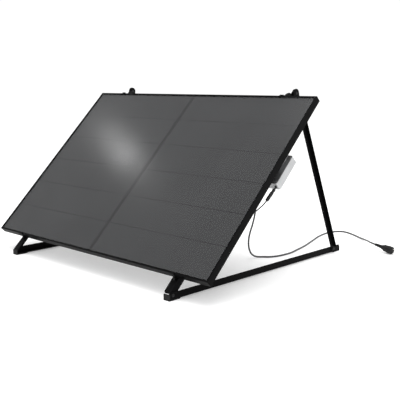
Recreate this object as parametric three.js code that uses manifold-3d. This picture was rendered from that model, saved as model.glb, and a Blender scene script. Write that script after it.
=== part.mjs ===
// Plug-in solar panel kit: a framed module in landscape on two folding triangle stands,
// with a micro-inverter under the module and a mains lead. Millimetres, +Z up.
// Origin: on the ground, at the centre of the stands' footprint. +Y runs from the low front edge to the rear.
import * as THREE from "three";
import { mergeVertices } from "three/addons/utils/BufferGeometryUtils.js";
import Module from "manifold-3d";

const wasm = await Module();
wasm.setup();

// ---- driving dimensions -------------------------------------------------
const TILT = THREE.MathUtils.degToRad(45); // slope of the module above the ground
const PANEL_W = 1722, PANEL_H = 1134, FRAME_D = 35; // module: width, height along the slope, frame depth
const PANEL_START = 81; // from the front pivot to the module's low edge, along the slope
const PIVOT_Z = 25; // height of the front and rear pivots above the ground
const APEX = 1286; // front pivot to apex pivot, along the sloped rail
const REAR = 1304; // front pivot to rear pivot, along the base rail
const BASE_FRONT = 18, BASE_END = 1374; // base rail's overhang in front of the pivot, and its rear end
const FOOT_CENTRE = 678; // y of the footprint's centre, measured from the front pivot
const BRACKET_X = 658; // outer face of the sloped rail's web
const WEB = 4; // wall of the sloped and base angles
const SEAT = 20.3; // height of the module's back face above the sloped rail's centreline
const GAP = 0.3; // air between neighbouring pieces

const CABLE_R = 5, LEAD_R = 3;

// ---- materials ----------------------------------------------------------
const mat = (color, roughness, metalness, extra = {}) => new THREE.MeshStandardMaterial({ color, roughness, metalness, ...extra });
const BLACK_ALU = mat(0x141416, 0.45, 0.85);
const GLASS = mat(0x1b1d20, 0.08, 0.0, { transparent: true, opacity: 0.35 });
const CELLS = mat(0x0b0c10, 0.25, 0.1);
const BACK = mat(0x101012, 0.6, 0.0);
const PLASTIC = mat(0x17171a, 0.55, 0.0);
const RUBBER = mat(0x161616, 0.8, 0.0);
const CASE = mat(0xb4b7ba, 0.42, 0.9);
const STEEL = mat(0x9a9c9e, 0.35, 1.0);
const BOARD = mat(0x1d5a34, 0.6, 0.0);
const NICKEL = mat(0xc9c6bd, 0.25, 1.0);

// ---- geometry helpers ---------------------------------------------------
const bare = (g) => {
  const n = g.index ? g.toNonIndexed() : g.clone();
  const out = new THREE.BufferGeometry();
  out.setAttribute("position", n.getAttribute("position"));
  return out;
};
const solid = (g) => {
  const m = mergeVertices(bare(g), 1e-4);
  return new wasm.Manifold(new wasm.Mesh({
    numProp: 3,
    vertProperties: new Float32Array(m.attributes.position.array),
    triVerts: new Uint32Array(m.index.array),
  }));
};
const geometry = (s) => {
  const m = s.getMesh();
  const g = new THREE.BufferGeometry();
  g.setAttribute("position", new THREE.BufferAttribute(new Float32Array(m.vertProperties), 3));
  g.setIndex(new THREE.BufferAttribute(new Uint32Array(m.triVerts), 1));
  g.computeVertexNormals();
  return g;
};
const union = (...gs) => geometry(gs.map(solid).reduce((a, b) => a.add(b)));
const cut = (g, ...tools) => geometry(tools.map(solid).reduce((a, b) => a.subtract(b), solid(g)));

const block = (x0, x1, y0, y1, z0, z1) =>
  new THREE.BoxGeometry(x1 - x0, y1 - y0, z1 - z0).translate((x0 + x1) / 2, (y0 + y1) / 2, (z0 + z1) / 2);

const outline = (pts) => new THREE.Shape(pts.map(([a, b]) => new THREE.Vector2(a, b)));
const roundHole = (a, b, r) => {
  const p = new THREE.Path();
  p.absarc(a, b, r, 0, Math.PI * 2, true);
  return p;
};
const slotHole = (a, b, halfLen, r) => {
  // a slot along the second axis
  const p = new THREE.Path();
  p.absarc(a, b + halfLen - r, r, Math.PI, 0, true);
  p.absarc(a, b - halfLen + r, r, 0, -Math.PI, true);
  p.closePath();
  return p;
};
// a plate whose outline lies in the YZ plane, between x0 and x1
const plateYZ = (shape, x0, x1, segments = 8) => {
  const g = new THREE.ExtrudeGeometry(shape, { depth: x1 - x0, bevelEnabled: false, curveSegments: segments });
  const m = new THREE.Matrix4().makeBasis(new THREE.Vector3(0, 1, 0), new THREE.Vector3(0, 0, 1), new THREE.Vector3(1, 0, 0));
  return g.applyMatrix4(m).translate(x0, 0, 0);
};
// a plate whose outline lies in the XY plane, between z0 and z1
const plateXY = (shape, z0, z1, segments = 8) =>
  new THREE.ExtrudeGeometry(shape, { depth: z1 - z0, bevelEnabled: false, curveSegments: segments }).translate(0, 0, z0);

const roundedRect = (x0, x1, y0, y1, r) => {
  const s = new THREE.Shape();
  s.moveTo(x0 + r, y0);
  s.lineTo(x1 - r, y0); s.absarc(x1 - r, y0 + r, r, -Math.PI / 2, 0);
  s.lineTo(x1, y1 - r); s.absarc(x1 - r, y1 - r, r, 0, Math.PI / 2);
  s.lineTo(x0 + r, y1); s.absarc(x0 + r, y1 - r, r, Math.PI / 2, Math.PI);
  s.lineTo(x0, y0 + r); s.absarc(x0 + r, y0 + r, r, Math.PI, Math.PI * 1.5);
  return s;
};

// a turned piece along +X: profile is [x, radius] from one end of the axis to the other
const turned = (profile, segments = 16) => {
  const g = new THREE.LatheGeometry(profile.map(([x, r]) => new THREE.Vector2(r, x)), segments);
  return g.rotateZ(-Math.PI / 2);
};
// a hex prism along +X
const hexPrism = (x0, x1, acrossFlats) => {
  const r = acrossFlats / Math.sqrt(3), s = new THREE.Shape();
  for (let i = 0; i < 6; i++) {
    const a = (Math.PI / 3) * i;
    i ? s.lineTo(r * Math.cos(a), r * Math.sin(a)) : s.moveTo(r, 0);
  }
  s.closePath();
  return plateYZ(s, x0, x1);
};
const tube = (points, r, sides, steps) => {
  const path = new THREE.CatmullRomCurve3(points.map((p) => new THREE.Vector3(...p)), false, "centripetal");
  path.arcLengthDivisions = 800;
  const s = new THREE.Shape();
  for (let i = 0; i < sides; i++) {
    const a = (Math.PI * 2 * i) / sides;
    i ? s.lineTo(r * Math.cos(a), r * Math.sin(a)) : s.moveTo(r, 0);
  }
  s.closePath();
  return new THREE.ExtrudeGeometry(s, { steps, extrudePath: path, bevelEnabled: false });
};

const part = (parent, name, g, material, place) => {
  const mesh = new THREE.Mesh(g, material);
  mesh.name = name;
  if (place) place(mesh);
  parent.add(mesh);
  return mesh;
};

// ---- groups -------------------------------------------------------------
const kit = new THREE.Group();
const ground = new THREE.Group(); // y from the front pivot, z from the ground
ground.position.set(0, -FOOT_CENTRE, 0);
kit.add(ground);
const slope = new THREE.Group(); // y runs up the slope from the front pivot, z square to the module
slope.position.set(0, 0, PIVOT_Z);
slope.rotation.x = TILT;
ground.add(slope);

// ---- module -------------------------------------------------------------
const W2 = PANEL_W / 2, LOW = PANEL_START, HIGH = PANEL_START + PANEL_H;
// frame profile: u inwards from the outer face, v up from the back face; a closed chamber under the glass slot
const profile = (flange) => {
  const s = outline([
    [0, 0], [flange, 0], [flange, 1.8], [1.8, 1.8], [1.8, 8], [10.5, 8], [10.5, 27.6], [2.3, 27.6],
    [2.3, 33], [10.5, 33], [10.5, FRAME_D], [0, FRAME_D],
  ]);
  s.holes.push(new THREE.Path([[1.8, 9.6], [8.9, 9.6], [8.9, 26], [1.8, 26]].map(([a, b]) => new THREE.Vector2(a, b))));
  return s;
};
const frameRail = (length, flange) => {
  const g = new THREE.ExtrudeGeometry(profile(flange), { depth: length, bevelEnabled: false });
  const p = g.getAttribute("position");
  for (let i = 0; i < p.count; i++) {
    const u = p.getX(i), z = p.getZ(i);
    p.setZ(i, z < length / 2 ? u + 0.2 : length - u - 0.2); // mitred ends
  }
  return g;
};
// the profile's u axis becomes `inward`, v becomes the slope's z, and the length runs along `along`
const railAt = (mesh, inward, along, x, y) => {
  const m = new THREE.Matrix4().makeBasis(new THREE.Vector3(...inward), new THREE.Vector3(0, 0, 1), new THREE.Vector3(...along));
  mesh.geometry.applyMatrix4(m);
  mesh.position.set(x, y, SEAT);
};
part(slope, "frame_rail_bottom", frameRail(PANEL_W, 28), BLACK_ALU, (m) => railAt(m, [0, 1, 0], [1, 0, 0], -W2, LOW));
part(slope, "frame_rail_top", frameRail(PANEL_W, 28), BLACK_ALU, (m) => railAt(m, [0, -1, 0], [-1, 0, 0], W2, HIGH));
part(slope, "frame_rail_left", frameRail(PANEL_H, 24), BLACK_ALU, (m) => railAt(m, [1, 0, 0], [0, -1, 0], -W2, HIGH));
part(slope, "frame_rail_right", frameRail(PANEL_H, 24), BLACK_ALU, (m) => railAt(m, [-1, 0, 0], [0, 1, 0], W2, LOW));

// L-shaped corner keys pressed into the frame's chambers
for (const [name, sx, sy] of [["top_left", -1, 1], ["top_right", 1, 1], ["bottom_left", -1, -1], ["bottom_right", 1, -1]]) {
  const a = 2.2, b = 8.5, len = 46;
  const s = outline([[a, a], [len, a], [len, b], [b, b], [b, len], [a, len]]);
  const g = plateXY(s, 10, 25.6);
  // corner at the outer corner of the frame, arms running inwards
  part(slope, "corner_key_" + name, g, STEEL, (m) => {
    m.scale.set(-sx, -sy, 1);
    m.position.set(sx * W2, sy > 0 ? HIGH : LOW, SEAT);
  });
}
const inset = 2.6;
part(slope, "front_glass", plateXY(roundedRect(-W2 + inset, W2 - inset, LOW + inset, HIGH - inset, 1.5), 29.5, 32.7, 3), GLASS, (m) => m.position.set(0, 0, SEAT));
part(slope, "cell_matrix", block(-W2 + 12, W2 - 12, LOW + 12, HIGH - 12, 28.7, 29.2), CELLS, (m) => m.position.set(0, 0, SEAT));
part(slope, "backsheet", block(-W2 + inset, W2 - inset, LOW + inset, HIGH - inset, 27.9, 28.4), BACK, (m) => m.position.set(0, 0, SEAT));

// three split junction boxes down the module's middle
const boxAt = { bottom: LOW + 180, middle: LOW + PANEL_H / 2, top: LOW + 954 };
for (const [name, y] of Object.entries(boxAt)) {
  const g = union(
    plateXY(roundedRect(-30, 30, y - 36, y + 36, 6), SEAT + 13.6, SEAT + 27.6, 4),
    plateXY(roundedRect(-38, 38, y - 20, y + 20, 4), SEAT + 22.6, SEAT + 27.6, 3),
  );
  part(slope, "junction_box_" + name, g, PLASTIC);
}

// ---- micro-inverter hung from the right frame rail ----------------------
const INV = { x0: 706, x1: 858, y0: 700, y1: 880, n: -38 }; // n is the level of its gland and ports
{
  const { x0, x1, y0, y1, n } = INV;
  const fins = [];
  for (let i = 0; i < 11; i++) {
    const x = x0 + 8 + (i * (x1 - x0 - 16 - 3)) / 10;
    fins.push(block(x, x + 3, y0 + 10, y1 - 10, n - 28, n - 20));
  }
  const tub = union(plateXY(roundedRect(x0, x1, y0, y1, 10), n - 21, n + 21, 3), ...fins);
  part(slope, "inverter_case", cut(tub, plateXY(roundedRect(x0 + 3, x1 - 3, y0 + 3, y1 - 3, 8), n - 17, n + 30, 3)), CASE);
  part(slope, "inverter_cover", plateXY(roundedRect(x0, x1, y0, y1, 10), n + 21 + GAP, n + 23.4, 3), CASE);
  part(slope, "inverter_board", block(x0 + 8, x1 - 8, y0 + 8, y1 - 8, n - 2, n - 0.4), BOARD);
  // hanger: a Z-shaped strip, its foot on the cover and its upper flange under the frame rail's flange
  const z0 = n + 23.4 + GAP;
  const zed = outline([[736, z0], [811, z0], [811, 17], [859, 17], [859, 20], [808, 20], [808, z0 + 3], [736, z0 + 3]]);
  const strip = new THREE.ExtrudeGeometry(zed, { depth: 70, bevelEnabled: false });
  strip.applyMatrix4(new THREE.Matrix4().makeBasis(new THREE.Vector3(1, 0, 0), new THREE.Vector3(0, 0, 1), new THREE.Vector3(0, -1, 0))).translate(0, 862, 0);
  const drill = new THREE.CylinderGeometry(4.4, 4.4, 12, 16).rotateX(Math.PI / 2).translate(849, 827, 18);
  part(slope, "inverter_hanger", cut(strip, drill), STEEL);
  const bolt = union(hexPrism(-6, 0, 13), turned([[-1, 0], [-1, 4], [3.0, 4], [3.0, 0]], 12));
  part(slope, "inverter_bolt", bolt, STEEL, (m) => {
    m.rotation.set(0, -Math.PI / 2, 0);
    m.position.set(849, 827, 17 - GAP);
  });
  // mains outlet gland on the inverter's upper end
  const gland = union(hexPrism(0, 7, 22), turned([[5, 0], [5, 9.5], [20, 9.5], [26, 7.5], [29.7, 7], [29.7, 0]], 16));
  part(slope, "ac_gland", gland, PLASTIC, (m) => {
    m.rotation.z = Math.PI / 2;
    m.position.set(790, y1 + GAP, n);
  });
}

// ---- low-voltage leads between the junction boxes and the inverter ------
// each connector half is 40 long; its axis runs from `at` along `dir`
const along = (m, at, dir) => {
  m.quaternion.setFromUnitVectors(new THREE.Vector3(1, 0, 0), new THREE.Vector3(...dir).normalize());
  m.position.set(...at);
};
const socketHalf = () => turned([[0, 0], [0, 5], [3, 6.5], [14, 7.2], [15, 9], [40, 9], [40, 0]], 12);
const plugHalf = () => turned([[0, 0], [0, 9], [14, 9], [15, 7.6], [26, 7.2], [37, 6.5], [40, 5], [40, 0]], 12);
{
  const nd = new THREE.Vector3(0, 1, -0.09).normalize(), n0 = new THREE.Vector3(842, 606, -30.5);
  const n1 = n0.clone().addScaledVector(nd, 40.3), n2 = n0.clone().addScaledVector(nd, 80.6);
  part(slope, "pv_socket_negative", socketHalf(), PLASTIC, (m) => along(m, n0.toArray(), nd.toArray()));
  part(slope, "pv_plug_negative", plugHalf(), PLASTIC, (m) => along(m, n1.toArray(), nd.toArray()));
  part(slope, "pv_lead_negative", tube([
    [39.2, boxAt.bottom, 44.6], [90, boxAt.bottom, 42], [200, 268, 34], [400, 282, 31], [560, 292, 31], [640, 298, 31], [720, 318, 31],
    [775, 372, 28], [806, 432, 19], [828, 488, 3], [838, 545, -16], [841.5, 585, -27], n0.clone().addScaledVector(nd, -GAP).toArray(),
  ], LEAD_R, 8, 44), RUBBER);
  const stub = n2.clone().addScaledVector(nd, GAP);
  part(slope, "inverter_lead_negative", tube([stub.toArray(), [842, 692.5, stub.z - 0.5], [842, INV.y0 - GAP, stub.z - 0.9]], LEAD_R, 8, 4), RUBBER);
  const pd = new THREE.Vector3(0.94, -0.34, 0).normalize(), p0 = new THREE.Vector3(96, 1006, 36);
  const p1 = p0.clone().addScaledVector(pd, 40.3), p2 = p0.clone().addScaledVector(pd, 80.6);
  part(slope, "pv_socket_positive", socketHalf(), PLASTIC, (m) => along(m, p0.toArray(), pd.toArray()));
  part(slope, "pv_plug_positive", plugHalf(), PLASTIC, (m) => along(m, p1.toArray(), pd.toArray()));
  part(slope, "pv_lead_positive", tube([
    [39.2, boxAt.top, 44.6], [48, boxAt.top - 1, 43.8], [66, boxAt.top - 12, 40], p0.clone().addScaledVector(pd, -10).toArray(), p0.clone().addScaledVector(pd, -GAP).toArray(),
  ], LEAD_R, 8, 8), RUBBER);
  part(slope, "inverter_lead_positive", tube([
    p2.clone().addScaledVector(pd, GAP).toArray(), [196, 968.5, 36], [260, 940, 33], [380, 880, 31], [500, 805, 31], [600, 728, 31], [660, 680, 31], [705, 642, 28],
    [733, 616, 15], [747, 602, -6], [752, 606, -28], [752, 628, -42], [752, 655, -45.5], [752, 680, -45], [752, INV.y0 - GAP, -45],
  ], LEAD_R, 8, 44), RUBBER);
}

// ---- mains lead held behind the module, from the gland to a clip under the top rail ----
const CLIP = { x: 535, y: HIGH - 20, n: 10 };
part(slope, "ac_lead_held", tube([
  [790, INV.y1 + 30.3, INV.n], [790, 930, -37.8], [788, 960, -31], [781, 990, -12], [768, 1016, 11], [743, 1037, 27], [703, 1060, 31], [655, 1092, 31], [622, 1121, 29.5],
  [599, 1150, 23], [581, 1176, 14], [566, 1190, 10.6], [551, CLIP.y, CLIP.n], [CLIP.x + 0.15, CLIP.y, CLIP.n],
], CABLE_R, 8, 40), RUBBER);
part(slope, "ac_clip", cut(
  plateXY(roundedRect(CLIP.x - 10, CLIP.x + 10, CLIP.y - 11, CLIP.y + 14, 3), 2.6, 20, 3),
  turned([[-12, 0], [-12, 5.4], [12, 5.4], [12, 0]], 16).translate(CLIP.x, CLIP.y, CLIP.n),
), PLASTIC);

// ---- one triangle stand, built on the right and mirrored to the left ----
const apexY = APEX * Math.cos(TILT), apexZ = PIVOT_Z + APEX * Math.sin(TILT);
const legLen = Math.hypot(REAR - apexY, PIVOT_Z - apexZ);
const legDir = [(REAR - apexY) / legLen, (PIVOT_Z - apexZ) / legLen];
const legRear = [-legDir[1], legDir[0]]; // square to the leg, towards the rear

const stand = (side, mirror) => {
  const g0 = new THREE.Group(), s0 = new THREE.Group();
  if (mirror) { g0.scale.x = -1; s0.scale.x = -1; }
  ground.add(g0); slope.add(s0);
  const X = BRACKET_X;

  // sloped rail: an angle with its flat flange under the module
  {
    const w = new THREE.Shape();
    w.moveTo(0, -15.5); w.lineTo(APEX - 34, -16); w.lineTo(APEX, -22); w.absarc(APEX, 0, 22, -Math.PI / 2, Math.PI / 2, false);
    w.lineTo(APEX - 34, 20); w.lineTo(-6, 20);
    w.absarc(0, 0, 15.5, 2.6, Math.PI * 1.5, false);
    w.holes.push(roundHole(0, 0, 4.3), roundHole(APEX, 0, 4.3));
    const f = new THREE.Shape();
    f.moveTo(X - 40, 2); f.lineTo(X - 32, -6); f.lineTo(X, -6); f.lineTo(X, APEX - 36);
    f.absarc(X - 20, APEX - 36, 20, 0, Math.PI, false);
    f.closePath();
    f.holes.push(roundHole(X - 20, LOW - 11.5, 3.4), roundHole(X - 20, HIGH + 11.5, 3.4));
    part(s0, "sloped_rail_" + side, union(plateYZ(w, X - WEB, X), plateXY(f, 16, 20)), BLACK_ALU);
  }
  // end clamps hold the module's frame down on the sloped rail
  const clamp = () => outline([[0.4, 0], [20, 0], [20, 2.2], [18, 3.5], [4, 3.5], [4, FRAME_D + 3.3], [-9, FRAME_D + 3.3], [-9, FRAME_D + 0.3], [0.4, FRAME_D + 0.3]]);
  const bolt = () => union(hexPrism(0, 4, 10), turned([[-16, 0], [-16, 3], [1, 3], [1, 0]], 12));
  for (const [name, y, dirY] of [["top", HIGH, 1], ["bottom", LOW, -1]]) {
    const s = clamp();
    const g = cut(plateYZ(s, -13, 13), block(-3.4, 3.4, 8.1, 14.9, -1, 5));
    part(s0, `end_clamp_${name}_${side}`, g, BLACK_ALU, (m) => {
      if (dirY < 0) m.rotation.z = Math.PI;
      m.position.set(X - 20, y, SEAT);
    });
    part(s0, `clamp_bolt_${name}_${side}`, bolt(), STEEL, (m) => {
      m.rotation.set(0, -Math.PI / 2, 0);
      m.position.set(X - 20, y + dirY * 11.5, SEAT + 3.5 + GAP);
    });
  }
  // base rail: an angle lying on the ground, flange inwards, with two slots for ground screws
  {
    const w = new THREE.Shape();
    w.moveTo(-BASE_FRONT, 5); w.lineTo(BASE_END, 5); w.lineTo(BASE_END, 31); w.absarc(BASE_END - 8, 31, 8, 0, Math.PI / 2);
    w.lineTo(-BASE_FRONT + 14, 39); w.absarc(-BASE_FRONT + 14, 25, 14, Math.PI / 2, Math.PI);
    w.closePath();
    w.holes.push(roundHole(0, PIVOT_Z, 4.3), roundHole(REAR, PIVOT_Z, 4.5));
    const x1 = X + 0.5 + WEB, x0 = x1 - 40;
    const f = outline([[x0, -BASE_FRONT + 6], [x0 + 6, -BASE_FRONT], [x1, -BASE_FRONT], [x1, BASE_END], [x0 + 6, BASE_END], [x0, BASE_END - 6]]);
    f.holes.push(slotHole(x0 + 18, 250, 15, 4.5), slotHole(x0 + 18, 1120, 15, 4.5));
    part(g0, "base_rail_" + side, union(plateYZ(w, X + 0.5, x1), plateXY(f, 5, 9)), BLACK_ALU);
    // rubber shoes under both ends of the base rail
    const shoe = (y0, y1, lipA, lipB, name) => {
      const lip = lipA < y0;
      const s = lip
        ? outline([[lipA, 0], [y1, 0], [y1, 4.7], [y0 - GAP, 4.7], [y0 - GAP, 30.5], [lipA + 2.6, 30.5], [lipA + 0.8, 28.8], [lipA, 26]])
        : outline([[y0, 0], [lipB, 0], [lipB, 26], [lipB - 0.8, 28.8], [lipB - 2.6, 30.5], [y1 + GAP, 30.5], [y1 + GAP, 4.7], [y0, 4.7]]);
      part(g0, name, plateYZ(s, x0, x1), RUBBER);
    };
    shoe(-BASE_FRONT, 48, -BASE_FRONT - 5.3, 48, "foot_pad_front_" + side);
    shoe(BASE_END - 60, BASE_END, BASE_END - 60, BASE_END + 5.3, "foot_pad_rear_" + side);
  }
  // rear leg: a lighter angle outside the base rail's web
  {
    const at = (w, v) => [apexY + legDir[0] * w + legRear[0] * v, apexZ + legDir[1] * w + legRear[1] * v];
    const a0 = Math.atan2(legRear[1], legRear[0]), r = 16, low = legLen + 8;
    const w = new THREE.Shape();
    const [ax, ay] = at(0, 0), [bx, by] = at(low, 0);
    w.moveTo(...at(0, 24));
    w.absarc(ax, ay, 24, a0, a0 + Math.PI, false);
    w.lineTo(...at(60, -r));
    w.lineTo(...at(low, -r));
    w.absarc(bx, by, r, a0 + Math.PI, a0 + Math.PI * 2, false);
    w.lineTo(...at(60, r));
    w.closePath();
    w.holes.push(roundHole(ax, ay, 4.3), roundHole(REAR, PIVOT_Z, 4.3));
    const f = outline([at(46, r - 3.5), at(60, r), at(legLen - 8, r), at(legLen - 8, r - 3.5)]);
    const g = union(plateYZ(w, X + 5, X + 8.5), plateYZ(f, X + 5, X + 25));
    part(g0, "rear_leg_" + side, g, BLACK_ALU);
  }
  // pivots
  part(g0, "front_pivot_rivet_" + side, turned([[-8, 0], [-7.6, 4], [-6.3, 7], [-WEB - GAP, 8], [-WEB - GAP, 4], [4.5 + GAP, 4], [4.5 + GAP, 8], [7.2, 7], [8.4, 4], [8.8, 0]], 16), STEEL,
    (m) => m.position.set(X, 0, PIVOT_Z));
  part(g0, "apex_pivot_rivet_" + side, turned([[-8, 0], [-7.6, 4], [-6.3, 7], [-WEB - GAP, 8], [-WEB - GAP, 4], [GAP, 4], [GAP, 9], [4.7, 9], [4.7, 4], [8.5 + GAP, 4], [8.5 + GAP, 8], [11.2, 7], [12.4, 4], [12.8, 0]], 16), STEEL,
    (m) => m.position.set(X, apexY, apexZ));
  part(g0, "foot_bolt_" + side, union(hexPrism(9.8, 15.3, 13), turned([[4.8, 0], [4.8, 4], [8.8, 4], [8.8, 8.5], [10.2, 8.5], [10.2, 0]], 16)), STEEL,
    (m) => m.position.set(X, REAR, PIVOT_Z));
  part(g0, "foot_nut_" + side, union(hexPrism(-7, -1, 13), turned([[-10, 0], [-10, 4], [-1.5, 4], [-1.5, 8.5], [0.2, 8.5], [0.2, 0]], 16)), STEEL,
    (m) => m.position.set(X, REAR, PIVOT_Z));
};
stand("right", false);
stand("left", true);

// ---- free mains lead and plug -------------------------------------------
// route in the ground group: out of the clip, down, then along the ground behind the stand; the stiff lead lifts the plug's tail
const c45 = Math.cos(TILT), s45 = Math.sin(TILT);
const clipEnd = [CLIP.x - 0.15, (CLIP.y - CLIP.n) * c45, PIVOT_Z + (CLIP.y + CLIP.n) * s45];
const PLUG_DIR = new THREE.Vector3(0.977, -0.177, -0.118).normalize();
const PLUG_AT = new THREE.Vector3(818, 1524, 38); // where the lead enters the plug's boot
const back = (d, up) => [PLUG_AT.x - PLUG_DIR.x * d, PLUG_AT.y - PLUG_DIR.y * d, PLUG_AT.z - PLUG_DIR.z * d + up];
const [, cy, cz] = clipEnd;
const route = [
  clipEnd, [527, cy, cz], [516, cy, cz], [506, cy, cz], [495, cy, cz - 2], [480, cy, cz - 11], [470, cy, cz - 28], [466.5, 838, cz - 50], [466, 838, 780], [466, 838, 600],
  [465, 838, 430], [461, 838, 330], [451, 838, 260], [436, 838, 205], [420, 838, 160], [410.5, 838, 122], [408, 839, 84], [410, 844, 56], [413, 854, 34], [418, 870, 18], [425, 891, 8.5],
  [434, 911, 5.2], [449, 927, 5.2], [467, 941, 5.2], [482, 962, 5.2], [493, 990, 5.2], [500, 1026, 5.2], [503, 1080, 5.2], [499, 1130, 5.2], [486, 1186, 5.2],
  [453, 1323, 5.2], [421, 1420, 5.2], [393, 1504, 5.2], [361, 1600, 5.2], [343, 1687, 5.2], [339, 1735, 5.2], [343, 1779, 5.2], [358, 1815, 5.2], [386, 1838, 5.2],
  [420, 1838, 5.2], [470, 1816, 5.2], [530, 1781, 5.2], [592, 1736, 8],
  [648, 1686, 15], [697, 1633, 25], [733, 1587, 34], [764, 1551, 39.5], back(30, 0.4), back(14, 0), back(GAP, 0),
];
part(ground, "ac_cable", tube(route, CABLE_R, 8, 88), RUBBER);
const plugPlace = (m) => along(m, PLUG_AT.toArray(), PLUG_DIR.toArray());
{
  const body = turned([
    [0, 0], [0, 6.8], [4, 7.8], [52, 10.8], [54, 13.4], [62, 14.8], [78, 18.4], [92, 21.6], [99, 22.5], [124, 22.5], [127, 21], [127, 0],
  ], 24);
  const notch = (s) => block(101, 130, -6.5, 6.5, s > 0 ? 16.6 : -30, s > 0 ? 30 : -16.6);
  // earth-contact grooves lie along the two sides of the body; the pins stand in a level row
  const socket = (y) => turned([[121, 0], [121, 2.7], [130, 2.7], [130, 0]], 12).translate(0, y, 0).rotateX(Math.PI / 2);
  const g = cut(body, notch(1).rotateX(Math.PI / 2), notch(-1).rotateX(Math.PI / 2), socket(9.5), socket(-9.5));
  part(ground, "mains_plug_body", g, RUBBER, plugPlace);
  for (const [name, z] of [["live", 9.5], ["neutral", -9.5]]) {
    part(ground, "plug_pin_" + name, turned([[121.3, 0], [121.3, 2.4], [144, 2.4], [146, 1.2], [146, 0]], 12).translate(0, 0, z), NICKEL, plugPlace);
  }
}

export default kit;
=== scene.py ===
# Looks of the plug-in solar panel kit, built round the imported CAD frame. Metres, +Z up.
import math
import bpy
import bmesh
from mathutils import Matrix, Vector


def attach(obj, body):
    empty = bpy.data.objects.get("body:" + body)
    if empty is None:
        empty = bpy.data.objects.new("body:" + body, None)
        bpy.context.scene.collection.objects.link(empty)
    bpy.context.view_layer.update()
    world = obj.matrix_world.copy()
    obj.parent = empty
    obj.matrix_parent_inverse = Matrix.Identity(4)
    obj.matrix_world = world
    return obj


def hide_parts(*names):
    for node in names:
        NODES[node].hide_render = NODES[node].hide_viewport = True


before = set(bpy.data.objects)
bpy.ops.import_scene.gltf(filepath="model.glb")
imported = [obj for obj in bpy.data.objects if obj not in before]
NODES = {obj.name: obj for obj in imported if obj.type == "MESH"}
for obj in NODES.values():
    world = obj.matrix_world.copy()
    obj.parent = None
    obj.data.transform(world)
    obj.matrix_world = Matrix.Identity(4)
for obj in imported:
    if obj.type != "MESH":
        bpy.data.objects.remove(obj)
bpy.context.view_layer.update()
rad = math.radians

# the slope's frame (x, up the slope, square to the module) and the ground's, in mm
SLOPE = Matrix.Translation((0, -678, 25)) @ Matrix.Rotation(rad(45), 4, "X")
GROUND = Matrix.Translation((0, -678, 0))
SEAT, LOW, HIGH = 20.3, 81.0, 1215.0
APEX, REAR, PIVOT_Z, BRACKET_X = 1286.0, 1304.0, 25.0, 658.0

# ------------------------------------------------------------------ camera
cam_data = bpy.data.cameras.new("camera")
cam_data.sensor_width = 36.0
cam_data.lens = 63.872
cam_data.clip_end = 100
cam = bpy.data.objects.new("camera", cam_data)
bpy.context.scene.collection.objects.link(cam)
cam.location = (2.93572, -2.17912 - 0.678, 0.98878)
az, el = rad(-43.9557), rad(9.3704)
forward = Vector((math.sin(az) * math.cos(el), math.cos(az) * math.cos(el), -math.sin(el)))
cam.rotation_mode = "QUATERNION"
cam.rotation_quaternion = forward.to_track_quat("-Z", "Y")
bpy.context.scene.camera = cam
bpy.context.scene.view_settings.view_transform = "Standard"
bpy.context.scene.view_settings.look = "None"


# ------------------------------------------------------------------ curves
def catmull(points, per=10):
    """Centripetal Catmull-Rom line through the points."""
    P = [Vector(p) for p in points]
    out = []
    for i in range(len(P) - 1):
        p1, p2 = P[i], P[i + 1]
        p0 = P[i - 1] if i else P[0] * 2 - P[1]
        p3 = P[i + 2] if i + 2 < len(P) else P[-1] * 2 - P[-2]
        d0, d1, d2 = ((b - a).length ** 0.5 for a, b in ((p0, p1), (p1, p2), (p2, p3)))
        t1 = ((p1 - p0) / d0 - (p2 - p0) / (d0 + d1) + (p2 - p1) / d1) * d1
        t2 = ((p2 - p1) / d1 - (p3 - p1) / (d1 + d2) + (p3 - p2) / d2) * d1
        for k in range(per):
            t = k / per
            out.append(p1 + t1 * t + (p2 * 3 - p1 * 3 - t1 * 2 - t2) * t * t + (p1 * 2 - p2 * 2 + t1 + t2) * t ** 3)
    out.append(P[-1])
    return out


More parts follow.
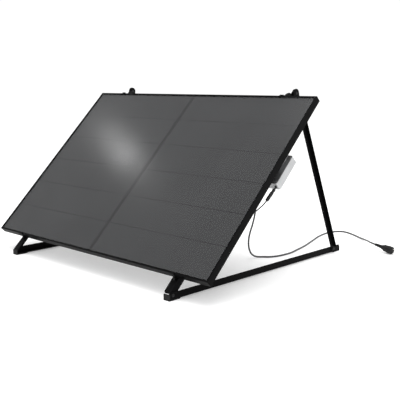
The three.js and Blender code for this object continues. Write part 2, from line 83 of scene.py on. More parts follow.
class Build:
    """Collects closed shells, in mm, into one mesh object in the row frame, in metres."""

    def __init__(self):
        self.v, self.f, self.m = [], [], []

    def add(self, verts, faces, M=None, m=0):
        o = len(self.v)
        self.v += [((M @ Vector(v)) if M else Vector(v)) * 0.001 for v in verts]
        self.f += [[o + i for i in f] for f in faces]
        self.m += [m] * len(faces)
        return self

    def lathe(self, prof, seg=32, M=None, m=0):
        verts, rings, faces = [], [], []
        for x, r in prof:
            if r < 1e-9:
                rings.append([len(verts)])
                verts.append((x, 0, 0))
            else:
                rings.append(list(range(len(verts), len(verts) + seg)))
                verts += [(x, r * math.cos(2 * math.pi * k / seg), r * math.sin(2 * math.pi * k / seg)) for k in range(seg)]
        for a, b in zip(rings, rings[1:]):
            for k in range(seg):
                j = (k + 1) % seg
                if len(a) == 1 and len(b) == 1:
                    break
                if len(a) == 1:
                    faces.append((a[0], b[j], b[k]))
                elif len(b) == 1:
                    faces.append((a[k], a[j], b[0]))
                else:
                    faces.append((a[k], a[j], b[j], b[k]))
        return self.add(verts, faces, M, m)

    def prism(self, pts, z0, z1, M=None, m=0):
        n = len(pts)
        verts = [(x, y, z0) for x, y in pts] + [(x, y, z1) for x, y in pts]
        faces = [list(range(n))[::-1], list(range(n, 2 * n))] + [[i, (i + 1) % n, n + (i + 1) % n, n + i] for i in range(n)]
        return self.add(verts, faces, M, m)

    def box(self, x0, x1, y0, y1, z0, z1, M=None, m=0):
        return self.prism([(x0, y0), (x1, y0), (x1, y1), (x0, y1)], z0, z1, M, m)

    def hexhead(self, x0, x1, af, M=None, m=0):
        """A hex head along +X with its far corners chamfered."""
        R, s = af / math.sqrt(3), 1 if x1 > x0 else -1
        rows = [(x0, 1.0), (x1 - s * 0.9, 1.0), (x1, 0.86)]
        verts = [(x, R * k * math.cos(math.pi * i / 3), R * k * math.sin(math.pi * i / 3)) for x, k in rows for i in range(6)]
        faces = [list(range(6)), list(range(12, 18))]
        for r in (0, 6):
            faces += [[r + i, r + (i + 1) % 6, r + 6 + (i + 1) % 6, r + 6 + i] for i in range(6)]
        return self.add(verts, faces, M, m)

    def tube(self, pts, r, seg=14, M=None, m=0, radii=None):
        P = [Vector(p) for p in pts]
        up = Vector((0, 0, 1)) if abs((P[1] - P[0]).normalized().z) < 0.9 else Vector((1, 0, 0))
        verts, faces, prev = [], [], None
        for i, p in enumerate(P):
            t = (P[min(i + 1, len(P) - 1)] - P[max(i - 1, 0)]).normalized()
            up = (up - t * up.dot(t)).normalized()
            side, q = t.cross(up), (radii[i] if radii else r)
            verts += [p + up * (q * math.cos(2 * math.pi * k / seg)) + side * (q * math.sin(2 * math.pi * k / seg)) for k in range(seg)]
        n = len(P)
        for i in range(n - 1):
            for k in range(seg):
                j = (k + 1) % seg
                faces.append((i * seg + k, i * seg + j, (i + 1) * seg + j, (i + 1) * seg + k))
        faces += [list(range(seg))[::-1], list(range((n - 1) * seg, n * seg))]
        return self.add(verts, faces, M, m)

    def obj(self, name, mats, body, replaces=(), slot=None, bevel=0.0, angle=35, segments=2):
        me = bpy.data.meshes.new(name)
        me.from_pydata([tuple(v) for v in self.v], [], self.f)
        bm = bmesh.new()
        bm.from_mesh(me)
        bmesh.ops.recalc_face_normals(bm, faces=bm.faces)
        bm.to_mesh(me)
        bm.free()
        me.update()
        for mt in (mats if isinstance(mats, (list, tuple)) else [mats]):
            me.materials.append(mt)
        for p, mi in zip(me.polygons, self.m):
            p.material_index = mi
            p.use_smooth = True
        me.set_sharp_from_angle(angle=rad(angle))
        o = bpy.data.objects.new(name, me)
        bpy.context.scene.collection.objects.link(o)
        if bevel:
            b = o.modifiers.new("edge", "BEVEL")
            b.width, b.segments, b.limit_method, b.angle_limit = bevel * 0.001, segments, "ANGLE", rad(angle)
            b.use_clamp_overlap = True
            b.harden_normals = True
        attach(o, body)
        if replaces:
            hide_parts(*replaces)
        return o


# ------------------------------------------------------------------ materials
def shader(name, color, rough, metallic=0.0, spec=0.5, grain=0.0, grain_scale=1500.0, stretch=(1, 1, 1), turn=0.0,
           vary=0.12, vary_scale=14.0, rough_vary=0.08, coat=0.0, coat_rough=0.1, painted_edge_highlight=0.0, sheen=0.0):
    """Principled surface with large soft variation, a fine grain in the bump and a painted highlight on convex edges (a
    lighter colour from the pointiness).
    """
    mt = bpy.data.materials.new(name)
    mt.use_nodes = True
    nt = mt.node_tree
    nt.nodes.clear()
    new, link = nt.nodes.new, nt.links.new
    out, bsdf = new("ShaderNodeOutputMaterial"), new("ShaderNodeBsdfPrincipled")
    link(bsdf.outputs[0], out.inputs[0])
    bsdf.inputs["Metallic"].default_value = metallic
    bsdf.inputs["Specular IOR Level"].default_value = spec
    bsdf.inputs["Coat Weight"].default_value = coat
    bsdf.inputs["Coat Roughness"].default_value = coat_rough
    bsdf.inputs["Sheen Weight"].default_value = sheen
    tc, mp = new("ShaderNodeTexCoord"), new("ShaderNodeMapping")
    mp.inputs["Scale"].default_value = stretch
    mp.inputs["Rotation"].default_value = (turn, 0, 0)
    link(tc.outputs["Object"], mp.inputs[0])
    soft, fine = new("ShaderNodeTexNoise"), new("ShaderNodeTexNoise")
    soft.inputs["Scale"].default_value, soft.inputs["Detail"].default_value = vary_scale, 5
    fine.inputs["Scale"].default_value, fine.inputs["Detail"].default_value = grain_scale, 3
    link(tc.outputs["Object"], soft.inputs["Vector"])
    link(mp.outputs[0], fine.inputs["Vector"])
    ramp = new("ShaderNodeValToRGB")
    ramp.color_ramp.elements[0].position, ramp.color_ramp.elements[1].position = 0.3, 0.7
    ramp.color_ramp.elements[0].color = (*[c * (1 - vary) for c in color], 1)
    ramp.color_ramp.elements[1].color = (*[min(1, c * (1 + vary)) for c in color], 1)
    link(soft.outputs["Fac"], ramp.inputs[0])
    col = ramp.outputs[0]
    # painted edge highlight: convex edges, found by the pointiness, get a lighter base colour
    if painted_edge_highlight:
        geo, er, mix = new("ShaderNodeNewGeometry"), new("ShaderNodeValToRGB"), new("ShaderNodeMix")
        er.color_ramp.elements[0].position, er.color_ramp.elements[1].position = 0.52, 0.62
        mix.data_type = "RGBA"
        link(geo.outputs["Pointiness"], er.inputs[0])
        link(er.outputs[0], mix.inputs["Factor"])
        link(col, mix.inputs[6])
        mix.inputs[7].default_value = (*[min(1, c + painted_edge_highlight) for c in color], 1)
        col = mix.outputs[2]
    link(col, bsdf.inputs["Base Color"])
    rr = new("ShaderNodeMapRange")
    rr.inputs["To Min"].default_value = max(0.02, rough - rough_vary)
    rr.inputs["To Max"].default_value = min(1.0, rough + rough_vary)
    link(fine.outputs["Fac"], rr.inputs["Value"])
    link(rr.outputs[0], bsdf.inputs["Roughness"])
    if grain:
        bump = new("ShaderNodeBump")
        bump.inputs["Strength"].default_value = 0.6
        bump.inputs["Distance"].default_value = grain * 0.001
        link(fine.outputs["Fac"], bump.inputs["Height"])
        link(bump.outputs[0], bsdf.inputs["Normal"])
    return mt


# painted edge highlights: in these calls the edge amount lightens the colour on convex edges
FRAME_X = shader("anodised_black_across", (0.0016, 0.0016, 0.0018), 0.42, spec=0.035, grain=0.05, grain_scale=700, stretch=(0.03, 1, 1), turn=rad(-45), vary=0.2, painted_edge_highlight=0.003)
FRAME_Y = shader("anodised_black_along", (0.0016, 0.0016, 0.0018), 0.42, spec=0.035, grain=0.05, grain_scale=700, stretch=(1, 0.03, 1), turn=rad(-45), vary=0.2, painted_edge_highlight=0.003)
STAND = shader("powder_black", (0.0018, 0.0018, 0.002), 0.5, spec=0.045, grain=0.12, grain_scale=650, vary=0.2, painted_edge_highlight=0.004)
HARD = shader("black_hardware", (0.006, 0.006, 0.0065), 0.42, spec=0.25, grain=0.04, grain_scale=900, vary=0.15, painted_edge_highlight=0.008)
STEEL = shader("stainless", (0.40, 0.40, 0.41), 0.34, metallic=1.0, grain=0.03, grain_scale=900, stretch=(0.15, 1, 1), vary=0.08, rough_vary=0.1)
KEY = shader("cast_corner", (0.35, 0.35, 0.36), 0.5, metallic=1.0, grain=0.1, grain_scale=400)
BACK = shader("black_backsheet", (0.008, 0.008, 0.009), 0.55, spec=0.3, grain=0.05, grain_scale=900, vary=0.1)
BLACKP = shader("moulded_black", (0.009, 0.009, 0.0095), 0.48, spec=0.35, grain=0.10, grain_scale=900, vary=0.15, painted_edge_highlight=0.01)
RUBBER = shader("foot_rubber", (0.008, 0.008, 0.008), 0.75, spec=0.25, grain=0.16, grain_scale=500, vary=0.3)
PLUGR = shader("plug_rubber", (0.008, 0.008, 0.0085), 0.58, spec=0.2, grain=0.10, grain_scale=800, vary=0.2, painted_edge_highlight=0.012)
CABLE = shader("cable_sheath", (0.06, 0.06, 0.062), 0.5, spec=0.4, grain=0.06, grain_scale=900, vary=0.2)
DCLEAD = shader("solar_cable", (0.034, 0.034, 0.035), 0.46, spec=0.4, grain=0.05, grain_scale=900, vary=0.2)
CASE = shader("cast_aluminium", (0.50, 0.505, 0.51), 0.42, metallic=0.9, grain=0.14, grain_scale=420, vary=0.07, rough_vary=0.1)
BOARD = shader("circuit_board", (0.015, 0.10, 0.04), 0.4, grain=0.03)
NICKEL = shader("nickel", (0.62, 0.60, 0.56), 0.2, metallic=1.0, grain=0.01, grain_scale=700, vary=0.05, rough_vary=0.05)
LENS = shader("light_pipe", (0.05, 0.32, 0.08), 0.15, spec=0.5, coat=0.5, vary=0.05)
SILICON = shader("silicon_cells", (0.051, 0.052, 0.054), 0.5, spec=0.03, grain_scale=7.0, vary=0.18, vary_scale=3.1, rough_vary=0.04)
BUSBAR = shader("cell_busbar", (0.085, 0.085, 0.088), 0.4, metallic=0.0, spec=0.1, grain_scale=7.0, vary=0.1)
RIBBON = shader("cell_ribbons", (0.066, 0.066, 0.069), 0.4, metallic=0.0, spec=0.1, grain_scale=7.0, vary=0.1, rough_vary=0.05)
FILM = shader("black_film", (0.003, 0.003, 0.0034), 0.5, spec=0.02, grain_scale=7.0, vary=0.1)


def glass_material():
    """Lightly textured solar glass: a thin see-through layer with a soft reflection."""
    mt = bpy.data.materials.new("solar_glass")
    mt.use_nodes = True
    nt = mt.node_tree
    nt.nodes.clear()
    new, link = nt.nodes.new, nt.links.new
    out, bsdf = new("ShaderNodeOutputMaterial"), new("ShaderNodeBsdfPrincipled")
    link(bsdf.outputs[0], out.inputs[0])
    bsdf.inputs["Base Color"].default_value = (0.012, 0.013, 0.015, 1)
    bsdf.inputs["IOR"].default_value = 1.9
    bsdf.inputs["Alpha"].default_value = 0.3
    tc, soft, rr = (new(f"ShaderNode{k}") for k in ("TexCoord", "TexNoise", "MapRange"))
    soft.inputs["Scale"].default_value, soft.inputs["Detail"].default_value = 2.2, 4
    link(tc.outputs["Object"], soft.inputs["Vector"])
    rr.inputs["To Min"].default_value, rr.inputs["To Max"].default_value = 0.16, 0.22
    link(soft.outputs["Fac"], rr.inputs["Value"])
    link(rr.outputs[0], bsdf.inputs["Roughness"])
    mt.surface_render_method = "BLENDED"
    return mt


GLASS = glass_material()


def along(at, direction, base):
    """Matrix that puts +X along a direction at a point of the base frame."""
    q = Vector((1, 0, 0)).rotation_difference(Vector(direction).normalized())
    return base @ Matrix.Translation(at) @ q.to_matrix().to_4x4()


# ------------------------------------------------------------------ mains lead, the free cord
s45 = math.sin(rad(45))
CLIP_X, CLIP_D, CLIP_N = 535.0, 1195.0, 10.0
CY, CZ = (CLIP_D - CLIP_N) * s45, 25 + (CLIP_D + CLIP_N) * s45
PLUG_DIR = Vector((0.977, -0.177, -0.118)).normalized()
PLUG_AT = Vector((818, 1524, 38))


def back(d, up):
    p = PLUG_AT - PLUG_DIR * d
    return [p.x, p.y, p.z + up]


ROUTE = [
    [CLIP_X - 0.15, CY, CZ], [527, CY, CZ], [516, CY, CZ], [506, CY, CZ], [495, CY, CZ - 2], [480, CY, CZ - 11], [470, CY, CZ - 28], [466.5, 838, CZ - 50], [466, 838, 780], [466, 838, 600],
    [465, 838, 430], [461, 838, 330], [451, 838, 260], [436, 838, 205], [420, 838, 160], [410.5, 838, 122], [408, 839, 84], [410, 844, 56], [413, 854, 34], [418, 870, 18], [425, 891, 8.5],
    [434, 911, 5.2], [449, 927, 5.2], [467, 941, 5.2], [482, 962, 5.2], [493, 990, 5.2], [500, 1026, 5.2], [503, 1080, 5.2], [499, 1130, 5.2], [486, 1186, 5.2],
    [453, 1323, 5.2], [421, 1420, 5.2], [393, 1504, 5.2], [361, 1600, 5.2], [343, 1687, 5.2], [339, 1735, 5.2], [343, 1779, 5.2], [358, 1815, 5.2], [386, 1838, 5.2],
    [420, 1838, 5.2], [470, 1816, 5.2], [530, 1781, 5.2], [592, 1736, 8],
    [648, 1686, 15], [697, 1633, 25], [733, 1587, 34], [764, 1551, 39.5], back(30, 0.4), back(14, 0), back(0.3, 0),
]
line = catmull([GROUND @ Vector(p) for p in ROUTE], 9)
cord = Build().tube(line, 5.0, 16).obj("mains_lead", CABLE, "panel_assembly", ["ac_cable"], "mains_lead")

# ------------------------------------------------------------------ plug
# +X along the plug, its pins in a level row
side = PLUG_DIR.cross(Vector((0, 0, 1))).normalized()
PM = along(PLUG_AT, PLUG_DIR, GROUND)
plug = Build()
boot = [(0, 0), (0, 6.4), (1.0, 7.0)]
for i in range(8):  # grooved bend protector
    x, r = 3 + i * 6.1, 7.6 + i * 0.38
    boot += [(x, r), (x + 0.6, r + 0.25), (x + 3.5, r + 0.4), (x + 4.1, r + 0.2), (x + 4.4, r - 0.9), (x + 5.7, r - 0.8)]
boot += [(52.6, 10.7), (53.6, 12.6), (55, 13.4), (60, 14.2), (68, 15.9), (76, 17.8), (84, 19.7), (91, 21.3), (97, 22.2), (103, 22.5), (111, 22.5), (111.6, 21.9), (113, 21.9), (113.6, 22.5), (122, 22.5), (124.6, 22.1), (126.3, 21), (127, 19.4), (127, 0)]
plug.lathe(boot, 48, PM)
for k in range(14):  # ribbed grip
    if k % 7 not in (0, 6):
        M = PM @ Matrix.Rotation((k % 7) * math.pi / 7 + (math.pi if k > 6 else 0) - math.pi / 2, 4, "X")
        plug.box(70, 92, -1.2, 1.2, 15.0, 19.6, M)
plug_o = plug.obj("plug_body", PLUGR, "panel_assembly", ["mains_plug_body"], "plug_rubber", angle=42)
for nm, z in (("live", 9.5), ("neutral", -9.5)):
    Build().lathe([(121.3, 0), (121.3, 2.4), (143.1, 2.4), (144.7, 2.1), (145.6, 1.4), (146, 0.6), (146, 0)], 24, PM @ Matrix.Translation((0, 0, z))).obj(
        "pin_" + nm, NICKEL, "panel_assembly", ["plug_pin_" + nm], "nickel")

# ------------------------------------------------------------------ carried-over nodes: edges and materials
CARRY = {
    "frame_rail_top": FRAME_X, "frame_rail_bottom": FRAME_X, "frame_rail_left": FRAME_Y, "frame_rail_right": FRAME_Y,
    "front_glass": GLASS, "backsheet": BACK, "inverter_case": CASE, "inverter_cover": CASE, "inverter_board": BOARD,
    "inverter_hanger": STEEL, "ac_clip": BLACKP,
}
for c in ("top_left", "top_right", "bottom_left", "bottom_right"):
    CARRY["corner_key_" + c] = KEY
for s in ("right", "left"):
    for n in ("sloped_rail_", "base_rail_", "rear_leg_", "end_clamp_top_", "end_clamp_bottom_"):
        CARRY[n + s] = STAND
    for n in ("foot_pad_front_", "foot_pad_rear_"):
        CARRY[n + s] = RUBBER
NO_EDGE = {"front_glass", "backsheet", "inverter_board"}
for name, mt in CARRY.items():
    o = NODES[name]
    o.data.materials.clear()
    o.data.materials.append(mt)
    if name not in NO_EDGE:
        w = o.modifiers.new("weld", "WELD")
        w.merge_threshold = 0.00002
        b = o.modifiers.new("edge", "BEVEL")
        b.width, b.segments, b.limit_method, b.angle_limit = 0.0005, 2, "ANGLE", rad(40)
        b.harden_normals = True

# ------------------------------------------------------------------ half cells, six rows of eighteen with a gap down the middle
CW, CH, ROWS, COLS, MID = 91.0, 180.6, 6, 9, 32.0
PX, PY = CW + 1.0, CH + 4.6
cells, wires, film = Build(), Build(), Build()
Z = SEAT + 28.75
low_edge = (LOW + HIGH) / 2 - (ROWS * PY - 4.6) / 2
for side in (-1, 1):
    for j in range(ROWS):
        y0 = low_edge + j * PY
        for i in range(COLS):
            xa = MID / 2 + i * PX
            x0, x1 = (xa, xa + CW) if side > 0 else (-xa - CW, -xa)
            c = 2.2  # clipped corners on the side that was the wafer's edge
            even = (i % 2 == 0) if side > 0 else (i % 2 == 1)
            if even:
                pts = [(x0 + c, y0), (x1, y0), (x1, y0 + CH), (x0 + c, y0 + CH), (x0, y0 + CH - c), (x0, y0 + c)]
            else:
                pts = [(x0, y0), (x1 - c, y0), (x1, y0 + c), (x1, y0 + CH - c), (x1 - c, y0 + CH), (x0, y0 + CH)]
            cells.prism(pts, Z, Z + 0.22, SLOPE)
        a, b = (MID / 2 + 3, MID / 2 + COLS * PX - 4.9) if side > 0 else (-(MID / 2 + COLS * PX - 4.9), -(MID / 2 + 3))
        for k in range(10):
            y = y0 + CH * (k + 0.5) / 10
            wires.box(a, b, y - 0.16, y + 0.16, Z + 0.225, Z + 0.33, SLOPE)
        for x in (a - 2, b + 2):
            bus = 1 if side > 0 and x < 40 else 0
            wires.box(x - 1.2 - bus, x + 1.2 + bus, y0 + 3, y0 + CH - 3, Z - 0.02, Z + 0.23, SLOPE, m=bus)
cells.obj("half_cells", SILICON, "panel_assembly", ["cell_matrix"], "cells")
wires.obj("cell_wires", [RIBBON, BUSBAR], "panel_assembly", slot="cells")
film.box(-848.5, 848.5, LOW + 12.5, HIGH - 12.5, Z - 0.04, Z - 0.03, SLOPE).obj("cell_film", FILM, "panel_assembly", slot="backsheet")

# ------------------------------------------------------------------ junction boxes
BOX_Y = {"bottom": LOW + 180, "middle": LOW + 567, "top": LOW + 954}


def rrect(x0, x1, y0, y1, r, n=5):
    pts = []
    for cx, cy, a in ((x1 - r, y0 + r, -90), (x1 - r, y1 - r, 0), (x0 + r, y1 - r, 90), (x0 + r, y0 + r, 180)):
        pts += [(cx + r * math.cos(rad(a + 90 * k / n)), cy + r * math.sin(rad(a + 90 * k / n))) for k in range(n + 1)]
    return pts


for nm, y in BOX_Y.items():
    b = Build()
    b.prism(rrect(-38, 38, y - 20, y + 20, 4), SEAT + 23.6, SEAT + 27.6, SLOPE)
    b.prism(rrect(-30, 30, y - 36, y + 36, 6), SEAT + 16.2, SEAT + 27.55, SLOPE)
    b.prism(rrect(-28.4, 28.4, y - 34.4, y + 34.4, 5), SEAT + 13.9, SEAT + 16.0, SLOPE)
    for k in range(-2, 3):
        b.box(-18, 18, y + k * 9 - 1.4, y + k * 9 + 1.4, SEAT + 13.6, SEAT + 14.2, SLOPE)
    for sx in (-1, 1):
        b.box(sx * 29 - 2.4, sx * 29 + 2.4, y - 7, y + 7, SEAT + 15, SEAT + 19, SLOPE)
    if nm != "middle":
        b.lathe([(29.5, 0), (29.5, 4.6), (33, 4.8), (33.6, 4.3), (38.6, 3.8), (38.6, 0)], 20, SLOPE @ Matrix.Translation((0, y, 44.7)))
    b.obj("junction_box_" + nm + "_body", BLACKP, "panel_assembly", ["junction_box_" + nm], "black_plastic", bevel=0.6)

# ------------------------------------------------------------------ low-voltage leads and connectors
ND, N0 = Vector((0, 1, -0.09)).normalized(), Vector((842, 606, -30.5))
N1, N2 = N0 + ND * 40.3, N0 + ND * 80.6
PD, P0 = Vector((0.94, -0.34, 0)).normalized(), Vector((96, 1006, 36))
P1, P2 = P0 + PD * 40.3, P0 + PD * 80.6
BY, TY = BOX_Y["bottom"], BOX_Y["top"]
STUB = N2 + ND * 0.3
LEADS = {
    "pv_lead_negative": [
        [39.2, BY, 44.6], [90, BY, 42], [200, 268, 34], [400, 282, 31], [560, 292, 31], [640, 298, 31], [720, 318, 31],
        [775, 372, 28], [806, 432, 19], [828, 488, 3], [838, 545, -16], [841.5, 585, -27], N0 - ND * 0.3],
    "inverter_lead_negative": [STUB, [842, 692.5, STUB.z - 0.5], [842, 699.7, STUB.z - 0.9]],
    "pv_lead_positive": [[39.2, TY, 44.6], [48, TY - 1, 43.8], [66, TY - 12, 40], P0 - PD * 10, P0 - PD * 0.3],
    "inverter_lead_positive": [
        P2 + PD * 0.3, [196, 968.5, 36], [260, 940, 33], [380, 880, 31], [500, 805, 31], [600, 728, 31], [660, 680, 31], [705, 642, 28],
        [733, 616, 15], [747, 602, -6], [752, 606, -28], [752, 628, -42], [752, 655, -45.5], [752, 680, -45], [752, 699.7, -45]],
}
HELD = [
    [790, 910.3, -38], [790, 930, -37.8], [788, 960, -31], [781, 990, -12], [768, 1016, 11], [743, 1037, 27], [703, 1060, 31], [655, 1092, 31], [622, 1121, 29.5],
    [599, 1150, 23], [581, 1176, 14], [566, 1190, 10.6], [551, CLIP_D, CLIP_N], [CLIP_X + 0.15, CLIP_D, CLIP_N]]
Build().tube(catmull(HELD, 10), 5.0, 16, SLOPE).obj("mains_lead_held", CABLE, "panel_assembly", ["ac_lead_held"], "mains_lead")
for nm, pts in LEADS.items():
    Build().tube(catmull(pts, 10), 3.0, 14, SLOPE).obj(nm + "_sheath", DCLEAD, "panel_assembly", [nm], "dc_lead")


def connector(name, at, d, male):
    M = along(at, d, SLOPE)
    b = Build()
    if male:  # latch half
        b.lathe([(0, 0), (0, 8.6), (0.6, 9), (13.2, 9), (14, 8.4), (14.6, 7.7), (16, 7.5), (26, 7.2)], 28, M)
        nut = [(26, 7.2), (26.4, 7.9), (27.2, 8.2), (36.0, 7.0), (38.6, 5.8), (40, 4.8), (40, 0)]
        b.lathe([(25.9, 0)] + nut, 28, M)
        for a in (0, math.pi):
            b.box(-0.0, 17, -2.6, 2.6, 7.6, 8.9, M @ Matrix.Rotation(a, 4, "X"))
    else:
        b.lathe([(0, 0), (0, 4.8), (1.4, 5.8), (4.0, 7.0), (12.8, 8.2), (13.6, 7.9), (14, 7.2), (14, 0)], 28, M)
        b.lathe([(14.1, 0), (14.1, 7.4), (15, 8.6), (15.6, 9), (24, 9), (24.6, 8.3), (31, 8.3), (31.6, 9), (39.3, 9), (40, 8.5), (40, 0)], 28, M)
    for k in range(12):  # ribs of the cap nut
        x0, x1 = (27.5, 36) if male else (4.0, 12.5)
        b.box(x0, x1, -0.55, 0.55, 6.7, 8.3, M @ Matrix.Rotation(k * math.pi / 6, 4, "X"))
    b.obj(name + "_shell", BLACKP, "panel_assembly", [name], "black_plastic", bevel=0.25)


connector("pv_socket_negative", N0, ND, False)
connector("pv_plug_negative", N1, ND, True)
connector("pv_socket_positive", P0, PD, False)
connector("pv_plug_positive", P1, PD, True)

# ------------------------------------------------------------------ inverter: gland, cover screws, hanger bolt
GM = SLOPE @ Matrix.Translation((790, 880.3, -38)) @ Matrix.Rotation(rad(90), 4, "Z")
g = Build()
g.hexhead(0, 7, 22, GM)
gl = [(6.8, 0), (6.8, 9.6), (7.6, 10.6), (14.4, 10.4), (15.4, 9.4)]
for i in range(3):
    x, r = 16.0 + i * 4.4, 8.9 - i * 0.55
    gl += [(x, r), (x + 0.5, r + 0.1), (x + 2.6, r - 0.15), (x + 3.1, r - 0.9), (x + 4.0, r - 0.95)]
gl += [(29.5, 7.0), (29.7, 6.4), (29.7, 0)]
g.lathe(gl, 32, GM)
for k in range(10):
    g.box(8.0, 14.2, -1.0, 1.0, 9.8, 11.2, GM @ Matrix.Rotation(k * math.pi / 5, 4, "X"))
gland = g.obj("cable_gland", BLACKP, "panel_assembly", ["ac_gland"], "black_plastic", bevel=0.3)

scr = Build()
for x, y in ((716, 710), (848, 710), (716, 790), (716, 870), (848, 870)):
    M = SLOPE @ Matrix.Translation((x, y, -14.6)) @ Matrix.Rotation(rad(-90), 4, "Y")
    scr.lathe([(-0.1, 0), (-0.1, 3.4), (0.7, 3.4), (1.5, 2.9), (1.9, 1.9), (1.9, 1.5), (1.0, 1.4), (1.0, 0)], 20, M)
for y in (810, 827, 844):
    M = SLOPE @ Matrix.Translation((768, y, -11.3)) @ Matrix.Rotation(rad(-90), 4, "Y")
    scr.lathe([(-0.1, 0), (-0.1, 4.4), (0.7, 4.4), (1.9, 3.6), (2.5, 2.2), (2.5, 1.8), (1.2, 1.7), (1.2, 0)], 20, M)
scr.obj("cover_screws", STEEL, "panel_assembly", slot="steel")
ports = Build()
for x, z in ((752, -45), (842, STUB.z - 0.9)):
    M = SLOPE @ Matrix.Translation((x, 700.2, z)) @ Matrix.Rotation(rad(-90), 4, "Z")
    ports.lathe([(-0.6, 0), (-0.6, 7.4), (2.2, 7.4), (3.0, 6.6), (9.5, 5.2), (10, 4.6), (10, 3.1), (-0.6, 3.1)], 24, M)
ports.obj("lead_ports", BLACKP, "panel_assembly", slot="black_plastic", bevel=0.2)
clip = Build()  # the clip's screw and cable clips stuck to the backsheet
clip.lathe([(-0.4, 0), (-0.4, 4.2), (1.2, 4.2), (2.0, 3.2), (2.4, 1.8), (1.2, 1.6), (1.2, 0)], 20, SLOPE @ Matrix.Translation((535, 1203.5, 2.6)) @ Matrix.Rotation(rad(90), 4, "Y"))
clip.obj("clip_screw", HARD, "panel_assembly", slot="black_plastic")
ties = Build()


def tie(x, y, n, r, a):
    M = SLOPE @ Matrix.Translation((x, y, n)) @ Matrix.Rotation(rad(a), 4, "Z")
    ties.box(-8, 8, -8, 8, 44, 48.0, SLOPE @ Matrix.Translation((x, y, 0)) @ Matrix.Rotation(rad(a), 4, "Z"))
    ties.box(-3.2, 3.2, -r - 1.6, r + 1.6, -r - 1.6, 44.5 - n, M)


for x, y, n, a in ((280, 274, 32.3, 8), (480, 287, 31, 4), (380, 880, 31, -32), (500, 805, 31, -34)):
    tie(x, y, n, 3.0, a)
tie(703, 1060, 31, 5.0, -36)
ties.obj("cable_ties", BLACKP, "panel_assembly", slot="black_plastic", bevel=0.5)


def bolt(name, node, M, washer, body, head=(0, 4), shaft=-16, stub=None, slot="steel", af=10, r=3.0):
    b = Build()
    b.hexhead(head[0], head[1], af, M)
    if washer:
        w0, w1 = washer
        b.lathe([(w0, 0), (w0, 8.1), (w0 + 0.3, 8.5), (w1 - 0.3, 8.5), (w1, 8.1), (w1, 0)], 32, M)
    x, prof = shaft + 0.8, [(shaft, 0), (shaft, r - 0.8), (shaft + 0.8, r - 0.05)]
    while x < -1.2:  # thread
        prof += [(x, r - 0.05), (x + 0.4, r - 0.5), (x + 0.8, r - 0.05)]
        x += 0.85
    prof += [(x, r - 0.05), (0.0, r - 0.05), (0.0, 0)]
    b.lathe(prof, 20, M)
    return b.obj(name, HARD, body, [node], slot, angle=28)


for k, s in ((1, "right"), (-1, "left")):
    MX = Matrix.Diagonal((k, 1, 1, 1))
    for nm, y, d in (("top", HIGH, 1), ("bottom", LOW, -1)):
        M = SLOPE @ Matrix.Translation((k * (BRACKET_X - 20), y + d * 11.5, SEAT + 3.8)) @ Matrix.Rotation(rad(-90), 4, "Y")
        bolt(f"bolt_{nm}_{s}", f"clamp_bolt_{nm}_{s}", M, None, "panel_assembly")
    base = GROUND @ MX
    head = [(-8, 0), (-7.9, 1.6), (-7.5, 3.6), (-6.9, 5.4), (-6.0, 6.9), (-5.1, 7.8), (-4.5, 8), (-4.3, 8)]
    fr = head + [(-4.3, 4), (4.8, 4), (4.8, 8), (5.0, 8), (5.8, 7.7), (6.9, 6.6), (7.8, 5.0), (8.4, 3.2), (8.7, 1.4), (8.8, 0)]
    Build().lathe(fr, 36, base @ Matrix.Translation((BRACKET_X, 0, PIVOT_Z))).obj(f"front_rivet_{s}", HARD, f"base_{s}", [f"front_pivot_rivet_{s}"], "steel")
    ar = head + [(-4.3, 4), (0.3, 4), (0.3, 8.6), (0.6, 9), (4.4, 9), (4.7, 8.6), (4.7, 4), (8.8, 4), (8.8, 8), (9.0, 8), (9.8, 7.7), (10.9, 6.6), (11.8, 5.0), (12.4, 3.2), (12.7, 1.4), (12.8, 0)]
    Build().lathe(ar, 36, base @ Matrix.Translation((BRACKET_X, APEX * s45, PIVOT_Z + APEX * s45))).obj(f"apex_rivet_{s}", HARD, "panel_assembly", [f"apex_pivot_rivet_{s}"], "steel")
    RM = base @ Matrix.Translation((BRACKET_X, REAR, PIVOT_Z))
    b = Build()
    b.hexhead(9.8, 15.3, 13, RM)
    b.lathe([(8.8, 0), (8.8, 8.1), (9.0, 8.5), (10.0, 8.5), (10.2, 8.1), (10.2, 0)], 32, RM)
    b.lathe([(4.8, 0), (4.8, 4), (9, 4), (9, 0)], 20, RM)
    b.obj(f"foot_bolt_head_{s}", HARD, f"leg_{s}", [f"foot_bolt_{s}"], "steel", angle=28)
    b = Build()
    b.hexhead(-1.4, -7, 13, RM)
    b.lathe([(-1.5, 0), (-1.5, 8.1), (-1.3, 8.5), (0, 8.5), (0.2, 8.2), (0.2, 0)], 32, RM)
    b.lathe([(-10, 0), (-10, 3.2), (-9.3, 3.95), (-8.9, 3.4), (-8.4, 3.95), (-7.9, 3.4), (-7.4, 3.95), (-6.9, 3.95), (-6.9, 0)], 20, RM)
    b.obj(f"foot_nut_body_{s}", HARD, f"base_{s}", [f"foot_nut_{s}"], "steel", angle=28)
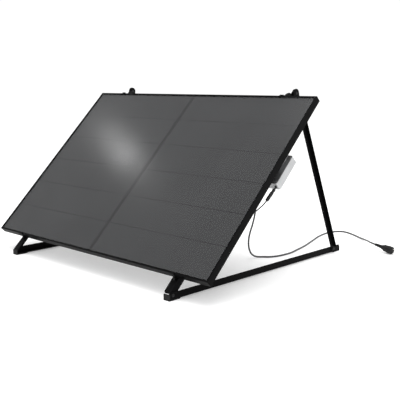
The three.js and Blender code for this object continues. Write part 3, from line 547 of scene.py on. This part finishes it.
M = SLOPE @ Matrix.Translation((849, 827, 16.7)) @ Matrix.Rotation(rad(-90), 4, "Y")
b = Build()
b.hexhead(0, -6, 13, M)
b.lathe([(-0.2, 0), (-0.2, 4), (3.0, 4), (3.0, 0)], 20, M)
b.obj("hanger_bolt", STEEL, "panel_assembly", ["inverter_bolt"], "steel", angle=28)

GLOW_X, GLOW_D, GLOW_POWER = -287.0, 760.0, 4.2
# ------------------------------------------------------------------ floor, world and lights
bm = bmesh.new()
bmesh.ops.create_grid(bm, x_segments=1, y_segments=1, size=40)
me = bpy.data.meshes.new("floor")
bm.to_mesh(me)
bm.free()
floor = bpy.data.objects.new("floor", me)
bpy.context.scene.collection.objects.link(floor)
fm = shader("floor_white", (0.90, 0.90, 0.90), 0.9, spec=0.05, grain=0.0, vary=0.004, vary_scale=0.5)
fb = next(n for n in fm.node_tree.nodes if n.type == "BSDF_PRINCIPLED")
fb.inputs["Emission Color"].default_value = (1, 1, 1, 1)
fb.inputs["Emission Strength"].default_value = 0.26
me.materials.append(fm)

world = bpy.data.worlds.new("studio")
bpy.context.scene.world = world
world.use_nodes = True
world.node_tree.nodes["Background"].inputs[0].default_value = (1, 1, 1, 1)
world.node_tree.nodes["Background"].inputs[1].default_value = 1.03


def area(name, loc, target, size, power):
    d = bpy.data.lights.new(name, "AREA")
    d.shape, d.size, d.size_y, d.energy = "RECTANGLE", size[0], size[1], power
    o = bpy.data.objects.new(name, d)
    bpy.context.scene.collection.objects.link(o)
    o.location = loc
    o.rotation_mode = "QUATERNION"
    o.rotation_quaternion = (Vector(target) - Vector(loc)).to_track_quat("-Z", "Y")
    return o


area("top_light", (0.5, -0.5, 5.0), (0, 0, 0), (4.0, 4.0), 140)
# the lamp whose soft reflection shows on the glass: on the mirrored line of sight through a point of the module
GP = SLOPE @ Vector((GLOW_X, GLOW_D, 53.0))
GP *= 0.001
sight = (GP - cam.location).normalized()
normal = Vector((0, -s45, s45))
mirror = sight - normal * (2 * sight.dot(normal))
area("glass_glow", GP + mirror * 6.0, GP, (0.34, 0.34), GLOW_POWER)
